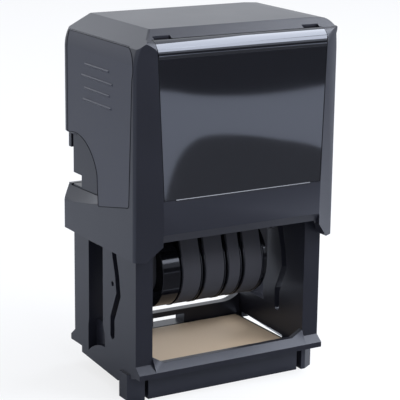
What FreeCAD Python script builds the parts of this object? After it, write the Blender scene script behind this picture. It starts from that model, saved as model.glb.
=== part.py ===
import FreeCAD, Part
import os
from functools import lru_cache
from math import atan2, cos, degrees, hypot, pi, sin

# Self-inking date and time stamp machine, in millimetres, +Z up.
# Sizes are given with Y = 0 at the middle of the frame's depth; every piece is then moved in Y,
# so that the origin lies under the middle of the whole machine's box. The window faces -Y.

Vector = FreeCAD.Vector

# Overall sizes; frame, cap and axle take their levels and the stroke as shares of the height
total_height = 118.0
frame_top_share = 0.677966
cap_bottom_share = 0.402542
axle_height_share = 0.427966
press_stroke_share = 0.220339
front_low_reach = 28.8
front_low_rise = 8.8
front_top_reach = 27.6
front_top_drop = 8.0

# Shared clearances
slide_gap = 0.25
front_slide_gap = 0.35
back_slide_gap = 1.25
seam_gap = 0.1
running_gap = 0.04
overrun = 2.0

# Frame
frame_half_width = 34.2
frame_half_depth = 21.25
wall_thickness = 6.0
wall_skin = 3.0
wall_foot_outer_front = 4.3
wall_foot_outer_back = 6.0
wall_foot_inner_front = 9.4
wall_foot_inner_back = 10.2
wall_foot_front_y = -9.3
wall_foot_back = 8.2
wall_foot_step_y = 16.2
flange_reach = 2.7
flange_top = 12.5
flange_edge_top = 10.4
flange_edge_bottom = 8.7
back_flange_reach = 3.0
back_flange_edge_top = 10.1
back_flange_edge_bottom = 8.2
skirt_setback = 2.65
skirt_depth = 3.0
foot_reach = 0.7
foot_length = 7.6
foot_width = 5.2
foot_corner_width = 3.7
foot_corner_depth = 2.3
foot_proud = 0.5
back_skirt_half_width = 26.0
back_skirt_setback = 1.4
bar_crest = 1.75
bar_foot = 3.85
gusset_width = 3.9
gusset_rise = 2.3
back_bar_top = 14.3
back_bar_thickness = 3.05
back_bar_curve_width = 6.5
back_bar_curve_rise = 2.5
back_notch_left = -6.1
back_notch_right = 6.1
back_notch_top = 12.5
wall_notch_y = 15.5
wall_notch_low_drop = 17.5
wall_notch_high_drop = 13.7
wall_notch_depth = 4.2

# Wide guide slot and cam slot in each side wall of the frame
guide_front_y = 0.9
guide_back_y = 10.8
guide_top_gap = 1.5
guide_flare_level = 19.7
guide_flare_front = 1.4
guide_flare_rise = 2.8
guide_flare_back = 0.5
guide_floor_front = 12.8
guide_floor_back = 8.2
guide_floor_sag = 1.2
guide_inner_floor = 18.7
inner_lip = 1.7
inner_lip_wave = 1.0
cam_width = 2.8
cam_hole_radius = 0.8
cam_hole_y = -5.8
cam_hole_z = 35.7
cam_bottom = 18.6
cam_straight_top = 24.2
cam_bulge_level = 33.0
cam_exit_level = 45.0
cam_top = 54.0
cam_straight_y = -5.7
cam_bulge_y = -9.8
cam_exit_y = -7.1
cam_top_y = -5.6
cam_bend = 0.47

# Text plate lying in the base
plate_side_gap = 0.8
plate_front_gap = 0.3
plate_thickness = 1.9
plate_seat = 7.2
plate_groove = 0.4
groove_height = 2.4
sheet_side_margin = 1.3
sheet_front_margin = 1.0
sheet_back_margin = 1.1
sheet_thickness = 0.3

# Pad bridge across the frame's top, and its rails
bridge_thickness = 3.0
bridge_back_y = 12.0
rail_web = 1.6
rail_lip = 1.5
rail_drop = 8.8
rail_height = 1.5
post_gap = 0.65
post_height = 6.0

# Ink pad and its tray
type_gap = 0.15
pad_thickness = 4.2
pad_half_width = 22.4
pad_half_depth = 15.4
pad_recess = 0.85
tray_gap = 0.35
tray_top_gap = 0.4
tray_front_wall = 3.2
handle_inset = 0.4
handle_thickness = 2.4
handle_lift = 1.9
handle_rise = 0.9
handle_half_width = 24.6
handle_groove_radius = 1.6
handle_groove_margin = 4.0

# Cap
cap_side_wall = 2.05
cap_back_wall = 1.8
cap_roof_wall = 2.2
pillar_half_width = 30.4
pillar_slant_share = 0.54
roof_half_width = 28.9
left_shoulder_half_width = 35.6
left_shoulder_drop = 5.1
right_crown_half_width = 33.4
right_crown_drop = 0.3
right_turn_half_width = 35.3
right_turn_drop = 1.2
right_shoulder_half_width = 36.0
right_shoulder_drop = 3.8
side_straight_drop = 13.5
side_curve_bow = 0.38
roof_half_depth = 19.6
back_straight_drop = 10.4
back_shoulder_y = 23.4
back_shoulder_drop = 4.6
back_curve_bow = 0.35
brow_y = -24.2
brow_drop = 2.6
brow_bow = 1.0
back_corner_radius = 2.7
heel_corner_radius = 1.0
pillar_corner_radius = 1.8
roof_corner_radius = 1.2
roof_edge_radius = 1.0
inner_guide_half_width = 32.0
inner_mid_half_width = 29.6
inner_apron_half_width = 27.6
cover_wall_depth = 3.1
apron_wall = 1.7
apron_rise = 5.1
apron_half_width = 28.6
apron_spread = 4.6
apron_bevel = 2.3
cover_rise = 19.4
cover_bottom_half_width = 28.4
inner_side_drop = 11.8
inner_shoulder_half_width = 33.4
inner_shoulder_drop = 6.8
scoop_rise = 14.8
scoop_floor_rim_front = 12.8
scoop_floor_rim_back = 8.5
scoop_front_low = -0.6
scoop_front_high = 0.1
scoop_turn_rise = 22.5
scoop_bow_y = 5.0
scoop_bow_rise = 29.6
scoop_top_y = 18.9
scoop_top_rise = 32.8
scoop_bevel = 1.3
scoop_end_rise = 26.9
scoop_end_half_width = 32.3
slot_side_gap = 0.75
slot_top_gap = 1.3
slot_corner_radius = 4.0
clip_notch_outer = 29.6
clip_notch_inner = 23.6
clip_notch_height = 1.1
clip_notch_depth = 1.6
cup_wall = 1.2
cup_height = 7.8

# Grip panels let into the cap's sides
panel_thickness = 1.0
panel_top_rise = 0.2
panel_front_high = -22.9
panel_front_high_drop = 14.0
panel_front_low = -21.0
panel_foot_height = 1.6
panel_front_bow = 0.8
panel_foot_bow = 0.4
panel_front_top_y = -18.8
panel_back_y = 20.6
panel_foot_y = -19.4
panel_foot_rise = 16.3
panel_heel_y = -1.2
panel_heel_rise = 12.6
ridge_top_drop = 14.1
ridge_pitch = 3.77
ridge_half_length = 10.4
ridge_length_shares = (0.78, 1.0, 0.83, 0.92)
ridge_height = 0.3
ridge_chamfer = 0.27
ridge_width = 0.8

# Window cover and index card
cover_thickness = 1.1
cover_brow_drop = 0.7
cover_gap = 0.12
card_thickness = 0.3
card_inset = 0.6
card_top_drop = 9.8

# Return springs
spring_offset_x = 18.0
spring_offset_y = -2.0
spring_wire = 0.9
spring_mean_radius = 6.0
spring_turns = 8
spring_end_gap = 0.1
quarters = 4
coil_steps = 48

# Axle brackets that carry the type carriage
bracket_thickness = 2.0
bracket_front_y = -5.2
bracket_low = 5.0
bracket_high = 6.5
lug_back_gap = 0.5
lug_bottom_rise = 0.6
spigot_depth = 1.1
spigot_inset = 1.0
pin_radius = 2.0

# Type carriage
carriage_gap = 0.5
cheek_thickness = 2.8
cheek_half_depth = 6.0
cheek_low = 5.0
platform_rise = 8.0
platform_thickness = 2.3
platform_half_depth = 16.5
type_window_half_depth = 8.4
wheel_cheek_inner = 19.6
wheel_cheek_thickness = 2.9
wheel_cheek_half_depth = 7.6
wheel_boss_radius = 8.0
pin_length_in = 4.9

# Thumbwheels, bands and their guide
wheel_drop = 13.5
wheel_radius = 12.9
wheel_hub_radius = 11.2
wheel_flange = 0.45
wheel_edge_radius = 0.2
wheel_gap = 0.8
wheel_width = 7.9
wheel_width_shares = (0.97, 1.0, 0.67, 0.95)
wheel_names = ("hour", "day", "month", "year")
wheels_left = -12.8
wheel_axle_radius = 1.5
band_gap = 0.2
band_thickness = 1.3
band_side_gap = 0.1
nose_height = 14.4
nose_half_depth = 5.9
nose_corner_radius = 2.2
guide_clear = 0.25
guide_core_low = 1.6
separator_thickness = 0.4
separator_radius = 11.6
collar_radius = 12.6
collar_gap = 0.3

# Sizes that follow from the ones above
frame_top = total_height * frame_top_share
cap_bottom = total_height * cap_bottom_share
axle_height = total_height * axle_height_share
press_stroke = total_height * press_stroke_share
front_low_level = cap_bottom + front_low_rise
front_top_level = total_height - front_top_drop
left_shoulder_level = total_height - left_shoulder_drop
right_shoulder_level = total_height - right_shoulder_drop
side_straight_top = total_height - side_straight_drop
brow_level = total_height - brow_drop
apron_bottom = cap_bottom + apron_rise
cover_bottom = cap_bottom + cover_rise
scoop_bottom = cap_bottom + scoop_rise
scoop_turn_level = cap_bottom + scoop_turn_rise
scoop_end_level = cap_bottom + scoop_end_rise
wall_inner = frame_half_width - wall_thickness
cap_inner = frame_half_width + slide_gap
cap_half_width = cap_inner + cap_side_wall
cap_half_depth = frame_half_depth + back_slide_gap + cap_back_wall
inner_guide_y = -frame_half_depth - front_slide_gap
middle_shift = (front_low_reach - cap_half_depth) / 2
guide_top = axle_height + bracket_high + guide_top_gap
lug_front_y = guide_front_y + inner_lip + inner_lip_wave + seam_gap
bracket_back_y = guide_back_y - lug_back_gap
wheel_level = axle_height - wheel_drop
rail_inner = wall_inner - rail_web
bridge_bottom = frame_top - bridge_thickness
tray_top = bridge_bottom - tray_top_gap
pad_face = axle_height + nose_height + type_gap
tray_rim_level = pad_face + pad_recess
handle_top = tray_top + handle_rise
slot_top = handle_top + press_stroke + slot_top_gap
slot_half_width = rail_inner - tray_gap + slot_side_gap
panel_top = left_shoulder_level + panel_top_rise
panel_foot_level = cap_bottom + panel_foot_rise


def box(x0, x1, y0, y1, z0, z1):
    """Block between two corners, given in any order."""
    low = Vector(min(x0, x1), min(y0, y1), min(z0, z1))
    return Part.makeBox(abs(x1 - x0), abs(y1 - y0), abs(z1 - z0), low)


def wire_of(points, closed=True):
    """Outline through points; an item with a bow point in second place is an arc to its end point."""
    edges = []
    here = points[0]
    for item in list(points[1:]) + ([points[0]] if closed else []):
        if isinstance(item, tuple):
            bow, end = item
            edges.append(Part.Arc(here, bow, end).toShape())
            here = end
        else:
            edges.append(Part.LineSegment(here, item).toShape())
            here = item
    return Part.Wire(edges)


def in_side_view(points, x):
    """Turn (y, z) pairs, and pairs of them for arcs, into points at one X."""
    return [tuple(Vector(x, *p) for p in item) if isinstance(item[0], tuple) else Vector(x, *item)
            for item in points]


def in_front_view(points, y):
    """Turn (x, z) pairs, and pairs of them for arcs, into points at one Y."""
    return [tuple(Vector(p[0], y, p[1]) for p in item) if isinstance(item[0], tuple)
            else Vector(item[0], y, item[1]) for item in points]


def along_x(points, x0, x1):
    """Solid with a (y, z) outline, from x0 to x1."""
    return Part.Face(wire_of(in_side_view(points, x0))).extrude(Vector(x1 - x0, 0, 0))


def along_y(points, y0, y1):
    """Solid with an (x, z) outline, from y0 to y1."""
    return Part.Face(wire_of(in_front_view(points, y0))).extrude(Vector(0, y1 - y0, 0))


def along_z(points, z0, z1):
    """Solid with an (x, y) outline, from z0 to z1."""
    flat = [Vector(x, y, z0) for x, y in points]
    return Part.Face(wire_of(flat)).extrude(Vector(0, 0, z1 - z0))


def rod_x(radius, x0, x1, y, z):
    """Cylinder along X."""
    return Part.makeCylinder(radius, abs(x1 - x0), Vector(min(x0, x1), y, z), Vector(1, 0, 0))


def rod_z(radius, x, y, z0, z1):
    """Cylinder along Z."""
    return Part.makeCylinder(radius, z1 - z0, Vector(x, y, z0))


def joined(shapes):
    """One clean solid out of touching shapes."""
    first = shapes[0]
    return first.fuse(list(shapes[1:])).removeSplitter() if len(shapes) > 1 else first


def mirrored_x(shape):
    """The same piece on the other side of the machine."""
    return shape.mirror(Vector(0, 0, 0), Vector(1, 0, 0))


def both_sides(shape):
    """A piece and its mirror image, as a list."""
    return [shape, mirrored_x(shape)]


def edges_where(shape, test):
    """Edges of a shape whose box passes a test."""
    return [edge for edge in shape.Edges if test(edge.BoundBox)]


def front_face_y(z):
    """Y of the cap's leaning front face at a height."""
    lean = (front_low_reach - front_top_reach) / (front_top_level - front_low_level)
    return -front_low_reach + (z - front_low_level) * lean


def emit(name, shape):
    """Write one piece, moved so that the origin is under the middle of the whole machine."""
    placed = shape.copy()
    placed.translate(Vector(0, middle_shift, 0))
    placed.exportStep(os.path.join("parts", name + ".step"))
    state = "valid" if placed.isValid() else "NOT VALID"
    print(f"{name}: {len(placed.Solids)} solids, {placed.Volume:.2f} mm3, {state}")


# Base frame

def cam_slot(x0, x1):
    """Curved slot that steers the carriage: rounded runs from point to point."""
    path = ((cam_straight_y, cam_bottom), (cam_straight_y, cam_straight_top),
            ((cam_straight_y + cam_bulge_y) / 2, (cam_straight_top + cam_bulge_level) / 2),
            (cam_bulge_y, cam_bulge_level),
            ((cam_bulge_y + cam_exit_y) / 2 - cam_bend, (cam_bulge_level + cam_exit_level) / 2),
            (cam_exit_y, cam_exit_level), (cam_top_y, cam_top))
    runs = [rod_x(cam_width / 2, x0, x1, y, z) for y, z in path]
    for (y0, z0), (y1, z1) in zip(path, path[1:]):
        length = hypot(y1 - y0, z1 - z0)
        run = box(x0, x1, -cam_width / 2, cam_width / 2, 0, length)
        run.rotate(Vector(0, 0, 0), Vector(1, 0, 0), -degrees(atan2(y1 - y0, z1 - z0)))
        run.translate(Vector(0, y0, z0))
        runs.append(run)
    return joined(runs)


def guide_slot():
    """Wide slot with an arched floor; its inner half is shorter and has a waved lip in front."""
    front, back = guide_front_y, guide_back_y
    low_front = front - guide_flare_front
    low_back = back + guide_flare_back
    sag = ((low_front + low_back) / 2, (guide_floor_front + guide_floor_back) / 2 + guide_floor_sag)
    flare_low = guide_flare_level - guide_flare_rise
    outer = [(low_back, guide_floor_back), (low_back, flare_low), (back, guide_flare_level),
             (back, guide_top), (front, guide_top), (front, guide_flare_level),
             (low_front, flare_low), (low_front, guide_floor_front), (sag, (low_back, guide_floor_back))]
    lip = front + inner_lip
    middle = (guide_inner_floor + guide_top) / 2
    inner = [(lip, guide_inner_floor), (back, guide_inner_floor), (back, guide_top), (lip, guide_top),
             ((lip + inner_lip_wave, middle), (lip, guide_inner_floor))]
    outer_cut = Part.Face(wire_of(in_side_view(outer, frame_half_width - wall_skin), closed=False))
    inner_cut = Part.Face(wire_of(in_side_view(inner, wall_inner - overrun), closed=False))
    return joined([outer_cut.extrude(Vector(wall_skin + overrun, 0, 0)),
                   inner_cut.extrude(Vector(wall_thickness - wall_skin + overrun, 0, 0))])


def side_wall():
    """Right wall of the frame with its post, slots and the notch behind the finger scoop."""
    outline = [(-frame_half_depth, flange_edge_bottom), (wall_foot_front_y, wall_foot_outer_front),
               (wall_foot_step_y, wall_foot_outer_back), (wall_foot_step_y, wall_foot_back),
               (frame_half_depth, wall_foot_back), (frame_half_depth, frame_top),
               (-frame_half_depth, frame_top)]
    wall = along_x(outline, wall_inner, frame_half_width)
    slopes = []
    for y, outer, inner in ((wall_foot_front_y, wall_foot_outer_front, wall_foot_inner_front),
                            (wall_foot_step_y, wall_foot_outer_back, wall_foot_inner_back)):
        slope = [(wall_inner - overrun, 0), (frame_half_width, 0), (frame_half_width, outer),
                 (wall_inner, inner), (wall_inner - overrun, inner)]
        slopes.append(wire_of(in_front_view(slope, y)))
    under = Part.makeLoft(slopes, True, True)
    notch = box(frame_half_width - wall_notch_depth, frame_half_width + overrun, wall_notch_y,
                frame_half_depth + overrun, frame_top - wall_notch_low_drop,
                frame_top - wall_notch_high_drop)
    hole = rod_x(cam_hole_radius, frame_half_width - wall_skin, frame_half_width + overrun,
                 cam_hole_y, cam_hole_z)
    slots = [guide_slot(), cam_slot(wall_inner - overrun, frame_half_width + overrun)]
    return wall.cut([under, notch, hole] + slots)


def front_bar():
    """Front bar with its sloped flange, the plate's ledge and the skirt under it."""
    out = -frame_half_depth
    lip = out - flange_reach
    skirt = out + skirt_setback
    outline = [(out, flange_top), (lip, flange_edge_top), (lip, flange_edge_bottom),
               (skirt, flange_edge_bottom), (skirt, 0), (skirt + skirt_depth, 0),
               (skirt + skirt_depth, plate_seat), (out + bar_foot, plate_seat),
               (out + bar_foot, plate_seat + groove_height), (out + bar_crest, flange_top)]
    return along_x(outline, -wall_inner, wall_inner)


def flange_end():
    """Stretch of the sloped flange in front of the right post."""
    out = -frame_half_depth
    lip = out - flange_reach
    outline = [(out, flange_top), (lip, flange_edge_top), (lip, flange_edge_bottom),
               (out, flange_edge_bottom)]
    return along_x(outline, wall_inner, frame_half_width)


def gusset():
    """Small facet that rises from the flange's slope to the right post."""
    out = -frame_half_depth
    corner = Vector(wall_inner, out, flange_top)
    top = Vector(wall_inner, out, flange_top + gusset_rise)
    side = Vector(wall_inner - gusset_width, out, flange_top)
    low = Vector(wall_inner, out - flange_reach, flange_edge_top)
    inward = Vector(0, bar_crest, 0)
    faces = [[corner, side, top], [corner, top, low], [corner, low, side], [top, side, low]]
    facet = Part.Solid(Part.Shell([Part.Face(wire_of(points)) for points in faces]))
    rib = Part.Face(wire_of([corner, side, top])).extrude(inward)
    return joined([facet, rib])


def front_foot():
    """Right front foot with a slanted outer corner."""
    outer = frame_half_width + foot_reach
    front = -frame_half_depth + skirt_setback - foot_proud
    back = front + foot_length
    outline = [(outer - foot_width, front), (outer - foot_corner_width, front),
               (outer, front + foot_corner_depth), (outer, back), (outer - foot_width, back)]
    return along_z(outline, 0, flange_edge_bottom)


def back_bar():
    """Back bar, raised over the plate's groove, with a slit through it and its flange."""
    out = frame_half_depth
    lip = out + back_flange_reach
    inner = out - back_bar_thickness
    skirt = out - back_skirt_setback
    flange = [(out, flange_top), (lip, back_flange_edge_top), (lip, back_flange_edge_bottom),
              (skirt, back_flange_edge_bottom)]
    outline = flange + [(skirt, plate_seat - plate_thickness),
               (skirt - skirt_depth, plate_seat - plate_thickness), (skirt - skirt_depth, plate_seat),
               (inner + plate_groove, plate_seat), (inner + plate_groove, plate_seat + groove_height),
               (inner, plate_seat + groove_height), (inner, back_bar_top), (out, back_bar_top)]
    bar = along_x(outline, -wall_inner, wall_inner)
    start = wall_inner - back_bar_curve_width
    radius = (back_bar_curve_width ** 2 + back_bar_curve_rise ** 2) / (2 * back_bar_curve_rise)
    turn = atan2(back_bar_curve_rise, back_bar_curve_width)
    curve = [(wall_inner, back_bar_top), (start, back_bar_top),
             ((start + radius * sin(turn), back_bar_top + radius * (1 - cos(turn))),
              (wall_inner, back_bar_top + back_bar_curve_rise))]
    end_rise = Part.Face(wire_of(in_front_view(curve, inner))).extrude(Vector(0, back_bar_thickness, 0))
    skirt_block = box(-back_skirt_half_width, back_skirt_half_width, skirt - skirt_depth, skirt,
                      0, plate_seat)
    notch = box(back_notch_left, back_notch_right, inner - overrun, lip + overrun,
                plate_seat + plate_thickness, back_notch_top)
    ends = along_x(flange[:3] + [(out, back_flange_edge_bottom)], wall_inner, frame_half_width)
    return joined([bar, skirt_block] + both_sides(end_rise) + both_sides(ends)).cut(notch)


def base_frame():
    """Frame moulding: two side walls, front and back bars, feet."""
    pieces = [front_bar(), back_bar()]
    for piece in (side_wall(), flange_end(), gusset(), front_foot()):
        pieces += both_sides(piece)
    return joined(pieces)


def plate_spans():
    """Half width, front Y and back Y of the text plate."""
    front = -frame_half_depth + bar_foot + plate_front_gap
    back = frame_half_depth - back_bar_thickness + plate_groove - plate_front_gap
    return wall_inner - plate_side_gap, front, back


def text_plate():
    """Plate that lies on the front ledge and in the back bar's groove."""
    half, front, back = plate_spans()
    return box(-half, half, front, back, plate_seat, plate_seat + plate_thickness)


def plate_sheet():
    """Blank sheet on the text plate."""
    half, front, back = plate_spans()
    side = half - sheet_side_margin
    top = plate_seat + plate_thickness
    return box(-side, side, front + sheet_front_margin, back - sheet_back_margin, top, top + sheet_thickness)


# Pad bridge, ink pad and tray

def pad_bridge():
    """Plate between the walls' tops, with two hooked rails below and spring posts above."""
    front = -frame_half_depth + slide_gap
    rail_low = bridge_bottom - rail_drop
    plate = box(-wall_inner, wall_inner, front, bridge_back_y, bridge_bottom, frame_top)
    web = box(rail_inner, wall_inner, front, bridge_back_y, rail_low, bridge_bottom)
    lip = box(rail_inner - rail_lip, wall_inner, front, bridge_back_y, rail_low, rail_low + rail_height)
    post_radius = spring_mean_radius - spring_wire / 2 - post_gap
    post = rod_z(post_radius, spring_offset_x, spring_offset_y, frame_top, frame_top + post_height)
    return joined([plate] + both_sides(joined([web, lip])) + both_sides(post))


def ink_pad_tray():
    """Tray that hangs in the rails, open below, with a handle across the back."""
    rail_top = bridge_bottom - rail_drop + rail_height
    front = -pad_half_depth - tray_front_wall
    back = cap_half_depth - handle_inset
    handle_front = back - handle_thickness
    handle_bottom = scoop_bottom + handle_lift
    wide = rail_inner - tray_gap
    narrow = rail_inner - rail_lip - tray_gap
    groove_end = handle_half_width - handle_groove_margin
    shelf = box(-wide, wide, front, handle_front, rail_top + tray_gap / 2, tray_top)
    body = box(-narrow, narrow, front, handle_front, tray_rim_level, tray_top)
    handle = box(-handle_half_width, handle_half_width, handle_front, back, handle_bottom, handle_top)
    groove = rod_x(handle_groove_radius, -groove_end, groove_end,
                   back + handle_groove_radius / 2, (handle_bottom + handle_top) / 2)
    pocket = box(-pad_half_width, pad_half_width, -pad_half_depth, pad_half_depth,
                 tray_rim_level - overrun, pad_face + pad_thickness)
    return joined([shelf, body, handle]).cut([pocket, groove])


def ink_pad():
    """Felt block let into the tray, standing a little below its rim."""
    pad = box(-pad_half_width, pad_half_width, -pad_half_depth, pad_half_depth,
              pad_face, pad_face + pad_thickness)
    lower = edges_where(pad, lambda b: b.ZMax < pad_face + seam_gap)
    return pad.makeFillet(tray_rim_level - pad_face - seam_gap, lower)


# Cap

def near(value, target):
    """Whether a value is a target, within a seam."""
    return abs(value - target) < seam_gap


def corner_edges(body, y):
    """Upright edges of the cap's side faces at one Y."""
    return edges_where(body, lambda b: near(b.YMin, y) and near(b.YMax, y)
                       and near(abs(b.XMax), cap_half_width) and b.ZLength > cap_side_wall)


def front_profile():
    """Front outline of the cap: sloped left shoulder, nearly level right one."""
    left = (-left_shoulder_half_width, left_shoulder_level)
    left_bow = (-(cap_half_width + left_shoulder_half_width) / 2 - side_curve_bow,
                (side_straight_top + left_shoulder_level) / 2)
    right = (right_shoulder_half_width, right_shoulder_level)
    right_bow = ((cap_half_width + right_shoulder_half_width) / 2 + side_curve_bow / 2,
                 (side_straight_top + right_shoulder_level) / 2)
    crown = (right_crown_half_width, total_height - right_crown_drop)
    turn = (right_turn_half_width, total_height - right_turn_drop)
    return [(-cap_half_width, cap_bottom), (-cap_half_width, side_straight_top), (left_bow, left),
            (-roof_half_width, total_height), (roof_half_width, total_height), crown, (turn, right),
            (right_bow, (cap_half_width, side_straight_top)), (cap_half_width, cap_bottom)]


def side_profile():
    """Side outline of the cap: upright back, roof, brow and leaning front."""
    straight = (cap_half_depth, total_height - back_straight_drop)
    shoulder = (back_shoulder_y, total_height - back_shoulder_drop)
    back_bow = ((cap_half_depth + back_shoulder_y) / 2 + back_curve_bow, (straight[1] + shoulder[1]) / 2)
    top = (front_face_y(front_top_level), front_top_level)
    brow_bulge = ((brow_y + top[0]) / 2 - brow_bow, (brow_level + front_top_level) / 2 + brow_bow)
    return [(cap_half_depth, cap_bottom), straight, (back_bow, shoulder), (roof_half_depth, total_height),
            (-roof_half_depth, total_height), (brow_y, brow_level), (brow_bulge, top),
            (front_face_y(cap_bottom), cap_bottom)]


@lru_cache(maxsize=None)
def cap_outline_solid():
    """Outer form of the cap: plan, front and side outlines taken together."""
    tip = cap_half_width - (front_low_reach + overrun - cap_half_depth) / pillar_slant_share
    deep = -front_low_reach - overrun
    plan = [(-cap_half_width, cap_half_depth), (-cap_half_width, -cap_half_depth), (-tip, deep),
            (tip, deep), (cap_half_width, -cap_half_depth), (cap_half_width, cap_half_depth)]
    body = along_z(plan, cap_bottom, total_height)
    body = body.common(along_y(front_profile(), deep, cap_half_depth + overrun))
    body = body.common(along_x(side_profile(), -cap_half_width - overrun, cap_half_width + overrun))
    halves = []
    for low, high, radius in ((cap_bottom, scoop_turn_level, heel_corner_radius),
                              (scoop_turn_level, total_height, back_corner_radius)):
        half = body.common(box(-cap_half_width - overrun, cap_half_width + overrun,
                               deep, cap_half_depth + overrun, low, high))
        halves.append(half.makeFillet(radius, corner_edges(half, cap_half_depth)))
    body = joined(halves)
    body = body.makeFillet(pillar_corner_radius, corner_edges(body, -cap_half_depth))
    ends = edges_where(body, lambda b: b.XMax < 0 and near(b.ZMax, total_height)
                       and b.ZLength > cap_side_wall)
    body = body.makeFillet(roof_corner_radius, ends)
    roof_edges = edges_where(body, lambda b: near(b.ZMin, total_height) and near(b.ZMax, total_height))
    return body.makeFillet(roof_edge_radius, roof_edges)


def cap_cavity():
    """Hollow of the cap, which also guides it along the frame."""
    apron_y = front_face_y(front_low_level) + apron_wall
    back = cap_half_depth - cap_back_wall
    mid_y = inner_guide_y - cover_wall_depth
    right_plan = [(inner_apron_half_width, apron_y), (inner_mid_half_width, mid_y),
                  (inner_guide_half_width, inner_guide_y), (cap_inner, inner_guide_y), (cap_inner, back)]
    low = cap_bottom - overrun
    roof = total_height - cap_roof_wall
    cavity = along_z([(-x, y) for x, y in reversed(right_plan)] + right_plan, low, roof)
    inner_roof = roof_half_width - cap_roof_wall / 4
    right_front = [(inner_roof, roof), (inner_shoulder_half_width, total_height - inner_shoulder_drop),
                   (cap_inner, total_height - inner_side_drop), (cap_inner, low)]
    front = [(-x, z) for x, z in reversed(right_front)] + right_front
    cavity = cavity.common(along_y(front, apron_y - overrun, cap_half_depth))
    ledge = cover_bottom - cap_roof_wall
    cover_y = front_face_y(cover_bottom) + cover_wall_depth
    top_y = front_face_y(front_top_level) + cover_wall_depth
    brow_z = roof - brow_drop - cap_roof_wall / 2
    side = [(back, low), (back, total_height - back_straight_drop),
            (roof_half_depth - cap_back_wall / 2, roof), (-roof_half_depth + cap_roof_wall, roof),
            (top_y + cap_roof_wall, brow_z), (top_y, front_top_level - cap_roof_wall), (cover_y, ledge),
            (apron_y, ledge - apron_wall), (apron_y, low)]
    return cavity.common(along_x(side, -cap_half_width, cap_half_width))


def panel_outline():
    """Outline of a grip panel in the side view, rounded at its front corners."""
    high = (panel_front_high, total_height - panel_front_high_drop)
    high_bow = (panel_front_high + panel_front_bow, panel_top - (panel_top - high[1]) / 4)
    foot_bow = (panel_front_low + panel_foot_bow, panel_foot_level + panel_foot_bow)
    return [(panel_back_y, scoop_turn_level), (panel_back_y, panel_top), (panel_front_top_y, panel_top),
            (high_bow, high), (panel_front_low, panel_foot_level + panel_foot_height),
            (foot_bow, (panel_foot_y, panel_foot_level)), (panel_heel_y, cap_bottom + panel_heel_rise)]


def panel_outline_grown(grow):
    """The same outline moved out by a seam."""
    grown = []
    for item in panel_outline():
        pairs = item if isinstance(item[0], tuple) else (item,)
        moved = tuple((y + (grow if y > 0 else -grow), z + (grow if z > scoop_turn_level else -grow))
                      for y, z in pairs)
        grown.append(moved if isinstance(item[0], tuple) else moved[0])
    return grown


def scoop_outline(inset, floor_front, floor_back):
    """Right finger scoop in the side view, its curved front edge drawn in from the rim."""
    beyond = cap_half_depth + overrun
    top = cap_bottom + scoop_top_rise - inset
    bow = (scoop_bow_y + inset, cap_bottom + scoop_bow_rise - inset)
    return [(beyond, floor_back), (beyond, top), (scoop_top_y, top),
            (bow, (scoop_front_high + inset, scoop_turn_level)), (scoop_front_low + inset, floor_front)]


def scoop_cut():
    """Cut of the right finger scoop: slanted floor and rim, and the back wall's end below its step."""
    deep = scoop_outline(scoop_bevel, scoop_bottom, scoop_bottom - scoop_bevel / 2)
    rim = scoop_outline(0.0, cap_bottom + scoop_floor_rim_front, cap_bottom + scoop_floor_rim_back)
    through = along_x(deep, cap_inner - seam_gap, cap_half_width + overrun)
    ends = [wire_of(in_side_view(deep, cap_inner)), wire_of(in_side_view(rim, cap_half_width))]
    slant = Part.makeLoft(ends, True, True)
    skin = along_x(rim, cap_half_width, cap_half_width + overrun)
    end = box(scoop_end_half_width, cap_inner, cap_half_depth - cap_back_wall - overrun,
              cap_half_depth + overrun, scoop_bottom, scoop_end_level)
    return joined([through, slant, skin, end])


def grip_panel(skin):
    """Right grip panel: the cap's skin inside the panel's outline, with ridges and the scoop."""
    prism = along_x(panel_outline(), 0, cap_half_width + overrun)
    inner = skin.copy()
    inner.translate(Vector(-panel_thickness, 0, 0))
    panel = skin.common(prism).cut(inner)
    for index, share in enumerate(ridge_length_shares):
        half = ridge_half_length * share
        low = total_height - ridge_top_drop - ridge_pitch * index - ridge_width / 2
        ridge = box(cap_half_width - panel_thickness / 2, cap_half_width + ridge_height,
                    -half, half, low, low + ridge_width)
        outer = edges_where(ridge, lambda b: b.XMin > cap_half_width)
        panel = panel.fuse(ridge.makeChamfer(ridge_chamfer, outer))
    return panel.removeSplitter().cut(scoop_cut())


def panel_recess(skin):
    """Cut in the cap that takes the right grip panel."""
    inner = skin.copy()
    inner.translate(Vector(-panel_thickness - seam_gap, 0, 0))
    grown = along_x(panel_outline_grown(seam_gap), 0, cap_half_width + overrun)
    return skin.common(grown).cut(inner)


def cover_prism(grow=0.0):
    """Region of the window cover in the front view."""
    deep = -front_low_reach - overrun
    top = brow_level + grow
    outline = [(-cover_bottom_half_width - grow, cover_bottom - grow), (-pillar_half_width - grow, top),
               (pillar_half_width + grow, top), (cover_bottom_half_width + grow, cover_bottom - grow)]
    return along_y(outline, deep, -roof_half_depth)


def cover_layer(prism, depth_from, depth_to):
    """Layer of the cap's front skin inside a prism, between two depths."""
    skin = cap_outline_solid()
    drop = cover_brow_drop / cover_thickness
    outer = skin.copy()
    outer.translate(Vector(0, depth_from, -depth_from * drop))
    inner = skin.copy()
    inner.translate(Vector(0, depth_to, -depth_to * drop))
    return outer.common(prism).cut(inner)


def window_cover():
    """Clear cover over the card, curved back at its top edge."""
    return cover_layer(cover_prism(), 0.0, cover_thickness)


def card_depths():
    """Depths of the card's front and back faces below the cap's front."""
    front = cover_thickness + cover_gap
    return front, front + card_thickness


def index_card():
    """Card behind the cover."""
    inset = cover_bottom_half_width - card_inset
    low = cover_bottom + card_inset
    high = total_height - card_top_drop
    card = box(-inset, inset, -front_low_reach - overrun, -roof_half_depth, low, high)
    return cover_layer(card, *card_depths())


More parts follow.
